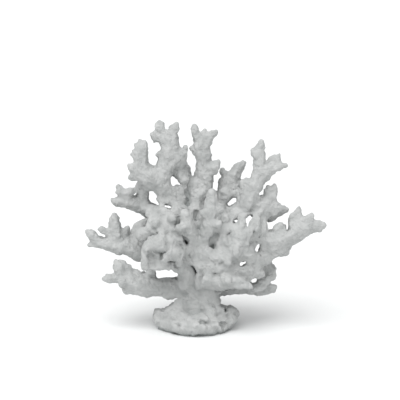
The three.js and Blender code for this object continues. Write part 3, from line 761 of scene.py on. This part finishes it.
def cut(data, triangles, flat, side):
    # Splits a closed mesh where side changes sign and caps both halves over the cut. Each row of
    # data is a point's place and everything known about it. Returns the data and, for the half
    # where side is negative and for the other, the triangles and which of them are caps. A
    # triangle that is cut has one lone corner, a, and a pair, b and c, on the other side.
    below = side[triangles] < 0
    count = below.sum(1)
    mixed = (count > 0) & (count < 3)
    odd = triangles[mixed]
    loneSide = count[mixed] == 1
    lone = np.where(loneSide, below[mixed].argmax(1), (~below[mixed]).argmax(1))
    a, b, c = (odd[np.arange(len(odd)), (lone + k) % 3] for k in range(3))
    data, fresh = crossed(data, side, np.concatenate([np.stack([a, b], 1), np.stack([a, c], 1)]))
    ab, ac = fresh[:len(odd)], fresh[len(odd):]
    rim = np.where(loneSide[:, None], np.stack([ab, ac], 1), np.stack([ac, ab], 1))
    caps = capsOver(data[:, :3], rim)
    halves = []
    for isBelow, whole, lid in ((True, count == 3, caps[:, ::-1]), (False, count == 0, caps)):
        tip = loneSide == isBelow
        parts = [triangles[whole], np.stack([a, ab, ac], 1)[tip],
                 np.stack([ab, b, c], 1)[~tip], np.stack([ab, c, ac], 1)[~tip], lid]
        marks = [flat[whole], flat[mixed][tip],
                 flat[mixed][~tip], flat[mixed][~tip], np.ones(len(lid), bool)]
        halves.append((np.concatenate(parts), np.concatenate(marks)))
    return data, halves


# The columns of the data: three of the place, three of the normal, the shelter, and the distance
# to each branch in turn.
normals = vertexNormals(points, triangles)
data = np.concatenate([points, normals, shelter[:, None], nearness], axis=1).astype(np.float64)
normalAt, shelterAt, nearnessAt = 3, 6, 7
flat = np.zeros(len(triangles), bool)
data, (under, (triangles, flat)) = cut(data, triangles, flat, data[:, 2].copy())

pieces = {}
for i, name in enumerate(names[:-1]):
    apart = data[:, nearnessAt + i:]
    side = oneBodyEach(apart[:, 0] - apart[:, 1:].min(1), triangles)
    data, (mine, (triangles, flat)) = cut(data, triangles, flat, side)
    pieces[name] = mine
pieces[names[-1]] = (triangles, flat)
print("cut it into", len(pieces), "pieces")


def nodeTree(name, outputs, inputs):
    # A shader node group with its sockets: (name, kind) out and (name, kind, default) in.
    group = bpy.data.node_groups.new(name, "ShaderNodeTree")
    for title, kind, default in inputs:
        socket = group.interface.new_socket(title, in_out="INPUT", socket_type=kind)
        socket.default_value = default
    for title, kind in outputs:
        group.interface.new_socket(title, in_out="OUTPUT", socket_type=kind)
    return group, group.nodes.new("NodeGroupInput"), group.nodes.new("NodeGroupOutput")


def add(tree, kind, values=None, **settings):
    # A node with its settings, whose sockets take values or links.
    node = tree.nodes.new(kind)
    for name, value in settings.items():
        setattr(node, name, value)
    for socket, value in (values or {}).items():
        if isinstance(value, bpy.types.NodeSocket):
            tree.links.new(value, node.inputs[socket])
        else:
            node.inputs[socket].default_value = value
    return node


def sums(tree, operation, a, b=0.0, c=0.0):
    return add(tree, "ShaderNodeMath", {0: a, 1: b, 2: c}, operation=operation).outputs[0]


def spread(tree, value, low, high, to=(0.0, 1.0)):
    # The value stretched from between low and high to between two others, and held there.
    return add(tree, "ShaderNodeMapRange",
               {"Value": value, "From Min": low, "From Max": high, "To Min": to[0], "To Max": to[1]},
               interpolation_type="SMOOTHSTEP").outputs["Result"]


def blend(tree, share, first, second):
    # A mix of two colours.
    colours = {"Factor": share, 6: first, 7: second}
    return add(tree, "ShaderNodeMix", colours, data_type="RGBA").outputs[2]


def vectors(tree, operation, values):
    return add(tree, "ShaderNodeVectorMath", values, operation=operation).outputs[0]


def perMetre(tree, width):
    # The scale of a texture whose cells are width millimetres across.
    return sums(tree, "DIVIDE", 1 / millimetre, width)


texture = {
    "grainDetail": 3.0,
    "grainRoughness": 0.6,
    "softDetail": 2.0,  # detail of the broader noises
    "mean": 0.5,  # what the noises vary about
    "cupDish": (0.1, 0.5),  # distances from a cup's middle between which its wall rises
    "cupScatter": 0.9,  # how far the cups are from an even pattern
}


def noise(tree, place, scale, **more):
    # Noise with the softer detail unless it is given more.
    values = {"Vector": place, "Scale": scale, "Detail": texture["softDetail"], **more}
    return add(tree, "ShaderNodeTexNoise", values).outputs["Fac"]


def growthGrain():
    # Grainy skeleton between the cups: height and patches.
    group, given, out = nodeTree(
        "growthGrain", [("Height", "NodeSocketFloat"), ("Patches", "NodeSocketFloat")],
        [("Grain", "NodeSocketFloat", 1.0), ("Patch", "NodeSocketFloat", 10.0)])
    place = add(group, "ShaderNodeTexCoord").outputs["Object"]
    grain = noise(group, place, perMetre(group, given.outputs["Grain"]),
                  Detail=texture["grainDetail"], Roughness=texture["grainRoughness"])
    patch = noise(group, place, perMetre(group, given.outputs["Patch"]))
    group.links.new(grain, out.inputs["Height"])
    group.links.new(patch, out.inputs["Patches"])
    return group


def coralCups():
    # The small cups that polyps leave: height, dished in the middle of each cell.
    group, given, out = nodeTree(
        "coralCups", [("Height", "NodeSocketFloat")], [("Cup", "NodeSocketFloat", 1.5)])
    place = add(group, "ShaderNodeTexCoord").outputs["Object"]
    scale = perMetre(group, given.outputs["Cup"])
    cells = add(group, "ShaderNodeTexVoronoi",
                {"Vector": place, "Scale": scale, "Randomness": texture["cupScatter"]})
    wall = spread(group, cells.outputs["Distance"], *texture["cupDish"])
    group.links.new(wall, out.inputs["Height"])
    return group


def growthStreaks():
    # Fine ridges that run outwards from the heart of the colony to the tips.
    group, given, out = nodeTree(
        "growthStreaks", [("Height", "NodeSocketFloat")],
        [("Heart", "NodeSocketVector", (0.0, 0.0, 0.05)), ("Fineness", "NodeSocketFloat", 60.0),
         ("Drift", "NodeSocketFloat", 25.0)])
    place = add(group, "ShaderNodeTexCoord").outputs["Object"]
    outward = vectors(group, "SUBTRACT", {0: place, 1: given.outputs["Heart"]})
    aim = vectors(group, "NORMALIZE", {0: outward})
    fine = vectors(group, "SCALE", {0: aim, "Scale": given.outputs["Fineness"]})
    slide = vectors(group, "SCALE", {0: place, "Scale": given.outputs["Drift"]})
    along = vectors(group, "ADD", {0: fine, 1: slide})
    group.links.new(noise(group, along, 1.0), out.inputs["Height"])
    return group


def hollowDustAndShade():
    # How far a place lies down in a crotch or hollow, from 0 on open ground to 1: the mask of dust
    # and painted shade that darkens the colour in the hollows.
    group, given, out = nodeTree(
        "hollowDustAndShade", [("DustAndShade", "NodeSocketFloat")],
        [("Open", "NodeSocketFloat", 0.0), ("Deep", "NodeSocketFloat", -3.0)])
    depth = add(group, "ShaderNodeAttribute", attribute_name="shelter").outputs["Fac"]
    dustAndShade = spread(group, depth, given.outputs["Open"], given.outputs["Deep"])
    group.links.new(dustAndShade, out.inputs["DustAndShade"])
    return group


def paintedFootShade():
    # A ragged band of painted shade that climbs a little way up from the ground, from 0 to 1: the
    # shaded lower edge of the foot painted into its colour.
    group, given, out = nodeTree(
        "paintedFootShade", [("FootShade", "NodeSocketFloat")],
        [("Reach", "NodeSocketFloat", 0.005), ("Raggedness", "NodeSocketFloat", 200.0)])
    place = add(group, "ShaderNodeTexCoord").outputs["Object"]
    rise = add(group, "ShaderNodeSeparateXYZ", {0: place}).outputs["Z"]
    ragged = noise(group, place, given.outputs["Raggedness"])
    ragged = sums(group, "SUBTRACT", ragged, texture["mean"])
    edge = sums(group, "MULTIPLY_ADD", ragged, given.outputs["Reach"], rise)
    group.links.new(spread(group, edge, given.outputs["Reach"], 0.0), out.inputs["FootShade"])
    return group


skeleton = {
    "chalk": (0.492, 0.500, 0.496, 1.0),  # bleached skeleton
    "ash": (0.420, 0.430, 0.426, 1.0),  # its duller patches
    "siltAndShade": (0.260, 0.282, 0.278, 1.0),  # the darker colour: dust and painted shade in the hollows, painted shade along the foot's lower edge
    "roughness": (0.82, 0.96),
    "specular": 0.25,
    "cup": 1.5,  # mm from cup to cup
    "grain": 0.5,  # mm
    "patch": 9.0,  # mm
    "patchEdge": (0.35, 0.65),  # patch values between which chalk turns into ash
    "roughEdge": (0.3, 0.7),  # grain values between which the roughness climbs
    "heart": (0.0, 0.0, 0.045),  # metres, where the ridges run out from
    "footShade": 0.7,  # how strong the painted shade round the foot is
    "footShadeReach": 0.005,  # metres up from the ground
    "grainShare": 0.35,  # height of the grain in the bump
    "cupShare": 0.5,  # the same for the cups
    "streakShare": 0.8,  # and for the ridges
    "bumpStrength": 0.75,
    "bumpDepth": 0.0007,  # metres
}


def placed(tree, group, values):
    # A group in a material, with its own values.
    return add(tree, "ShaderNodeGroup", values, node_tree=group).outputs


def skeletonColour(tree, grain, dustAndShade, footShade, look):
    patches = spread(tree, grain["Patches"], *look["patchEdge"])
    ground = blend(tree, patches, look["chalk"], look["ash"])
    # Dust and painted shade in the hollows, and painted shade along the foot's lower edge, darken the
    # skeleton's colour.
    strength = sums(tree, "MULTIPLY", footShade["FootShade"], look["footShade"])
    shadeAndDustShare = sums(tree, "MAXIMUM", dustAndShade["DustAndShade"], strength)
    return blend(tree, shadeAndDustShare, ground, look["siltAndShade"])


def skeletonRelief(tree, grain, cups, streaks, look):
    height = sums(tree, "MULTIPLY", cups["Height"], look["cupShare"])
    height = sums(tree, "MULTIPLY_ADD", grain["Height"], look["grainShare"], height)
    height = sums(tree, "MULTIPLY_ADD", streaks["Height"], look["streakShare"], height)
    values = {"Height": height, "Strength": look["bumpStrength"], "Distance": look["bumpDepth"]}
    return add(tree, "ShaderNodeBump", values).outputs["Normal"]


def material(name, groups, look):
    mat = bpy.data.materials.new(name)
    mat.use_nodes = True
    tree = mat.node_tree
    grain = placed(tree, groups["grain"], {"Grain": look["grain"], "Patch": look["patch"]})
    cups = placed(tree, groups["cups"], {"Cup": look["cup"]})
    streaks = placed(tree, groups["streaks"], {"Heart": look["heart"]})
    dustAndShade = placed(tree, groups["dustAndShade"], {})
    footShade = placed(tree, groups["footShade"], {"Reach": look["footShadeReach"]})
    shader = tree.nodes["Principled BSDF"].inputs
    shader["Specular IOR Level"].default_value = look["specular"]
    tree.links.new(skeletonColour(tree, grain, dustAndShade, footShade, look), shader["Base Color"])
    rough = spread(tree, grain["Height"], *look["roughEdge"], to=look["roughness"])
    tree.links.new(rough, shader["Roughness"])
    tree.links.new(skeletonRelief(tree, grain, cups, streaks, look), shader["Normal"])
    return mat


effects = {"grain": growthGrain(), "cups": coralCups(), "streaks": growthStreaks(),
           "dustAndShade": hollowDustAndShade(), "footShade": paintedFootShade()}
coralMaterial = material("bleachedCoral", effects, skeleton)
print("mixed the material")


def makePiece(name, triangles, flat):
    # A mesh object of the triangles, shaded with the whole surface's normals except on flat cuts.
    used, corner = np.unique(triangles, return_inverse=True)
    mesh = bpy.data.meshes.new(name + "_grown")
    mesh.from_pydata((data[used, :3] * millimetre).tolist(), [], corner.reshape(-1, 3).tolist())
    # The depth of the recesses, which the material turns into dust and painted shade in the hollows.
    shelterLayer = mesh.attributes.new("shelter", "FLOAT", "POINT")
    shelterLayer.data.foreach_set("value", data[used, shelterAt].astype(np.float32))
    mesh.shade_smooth()
    smooth = data[triangles.reshape(-1), normalAt:shelterAt].reshape(-1, 3, 3)
    straight = facing(data[:, :3], triangles)
    smooth[flat] = straight[flat][:, None]
    smooth /= np.linalg.norm(smooth, axis=2, keepdims=True).clip(tiny)
    mesh.normals_split_custom_set(smooth.reshape(-1, 3))
    mesh.materials.append(coralMaterial)
    piece = bpy.data.objects.new(name + "_grown", mesh)
    scene.collection.objects.link(piece)
    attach(piece, "root")
    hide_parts(name)


for name, (triangles, flat) in pieces.items():
    makePiece(name, triangles, flat)
print("made", len(pieces), "pieces of", sum(len(t) for t, f in pieces.values()), "triangles")

studio = {
    "floorSize": 60.0,  # metres
    "floorColour": (0.86, 0.87, 0.87, 1.0),
    "floorRoughness": 0.9,
    "skyColour": (1.0, 1.0, 1.0, 1.0),
    "sky": 0.685,  # strength of the even light from all round
    "keyStrength": 2.25,
    "keySoftness": 50.0,  # degrees that the light's disc spans
    "keyFrom": (-0.35, -0.75, 1.5),
    "lookAt": (0.0034, 0.0042, 0.1089),
    "elevation": 10.0,  # degrees that the camera looks down
    "distance": 1.2,  # metres
    "lens": 127.06,
    "farthest": 100.0,  # metres that the camera sees
}

floorMesh = bpy.data.meshes.new("floor")
half = studio["floorSize"] / 2
floorCorners = [(-half, -half, 0), (half, -half, 0), (half, half, 0), (-half, half, 0)]
floorMesh.from_pydata(floorCorners, [], [(0, 1, 2, 3)])
floor = bpy.data.objects.new("floor", floorMesh)
scene.collection.objects.link(floor)
floorMaterial = bpy.data.materials.new("paleFloor")
floorMaterial.use_nodes = True
floorShader = floorMaterial.node_tree.nodes["Principled BSDF"].inputs
floorShader["Base Color"].default_value = studio["floorColour"]
floorShader["Roughness"].default_value = studio["floorRoughness"]
floorMesh.materials.append(floorMaterial)

world = bpy.data.worlds.new("softLight")
scene.world = world
world.use_nodes = True
sky = world.node_tree.nodes["Background"].inputs
sky["Color"].default_value = studio["skyColour"]
sky["Strength"].default_value = studio["sky"]

middle = Vector(studio["lookAt"])
keyLight = bpy.data.lights.new("keyLight", "SUN")
keyLight.angle = math.radians(studio["keySoftness"])
keyLight.energy = studio["keyStrength"]
key = bpy.data.objects.new("keyLight", keyLight)
key.location = studio["keyFrom"]
key.rotation_euler = (middle - key.location).to_track_quat("-Z", "Y").to_euler()
scene.collection.objects.link(key)

tilt = math.radians(studio["elevation"])
lens = bpy.data.cameras.new("camera")
lens.lens = studio["lens"]
lens.clip_end = studio["farthest"]
camera = bpy.data.objects.new("camera", lens)
camera.location = middle + studio["distance"] * Vector((0, -math.cos(tilt), math.sin(tilt)))
camera.rotation_euler = (middle - camera.location).to_track_quat("-Z", "Y").to_euler()
scene.collection.objects.link(camera)
scene.camera = camera
scene.view_settings.view_transform = "Standard"
print("set the lights and the camera")
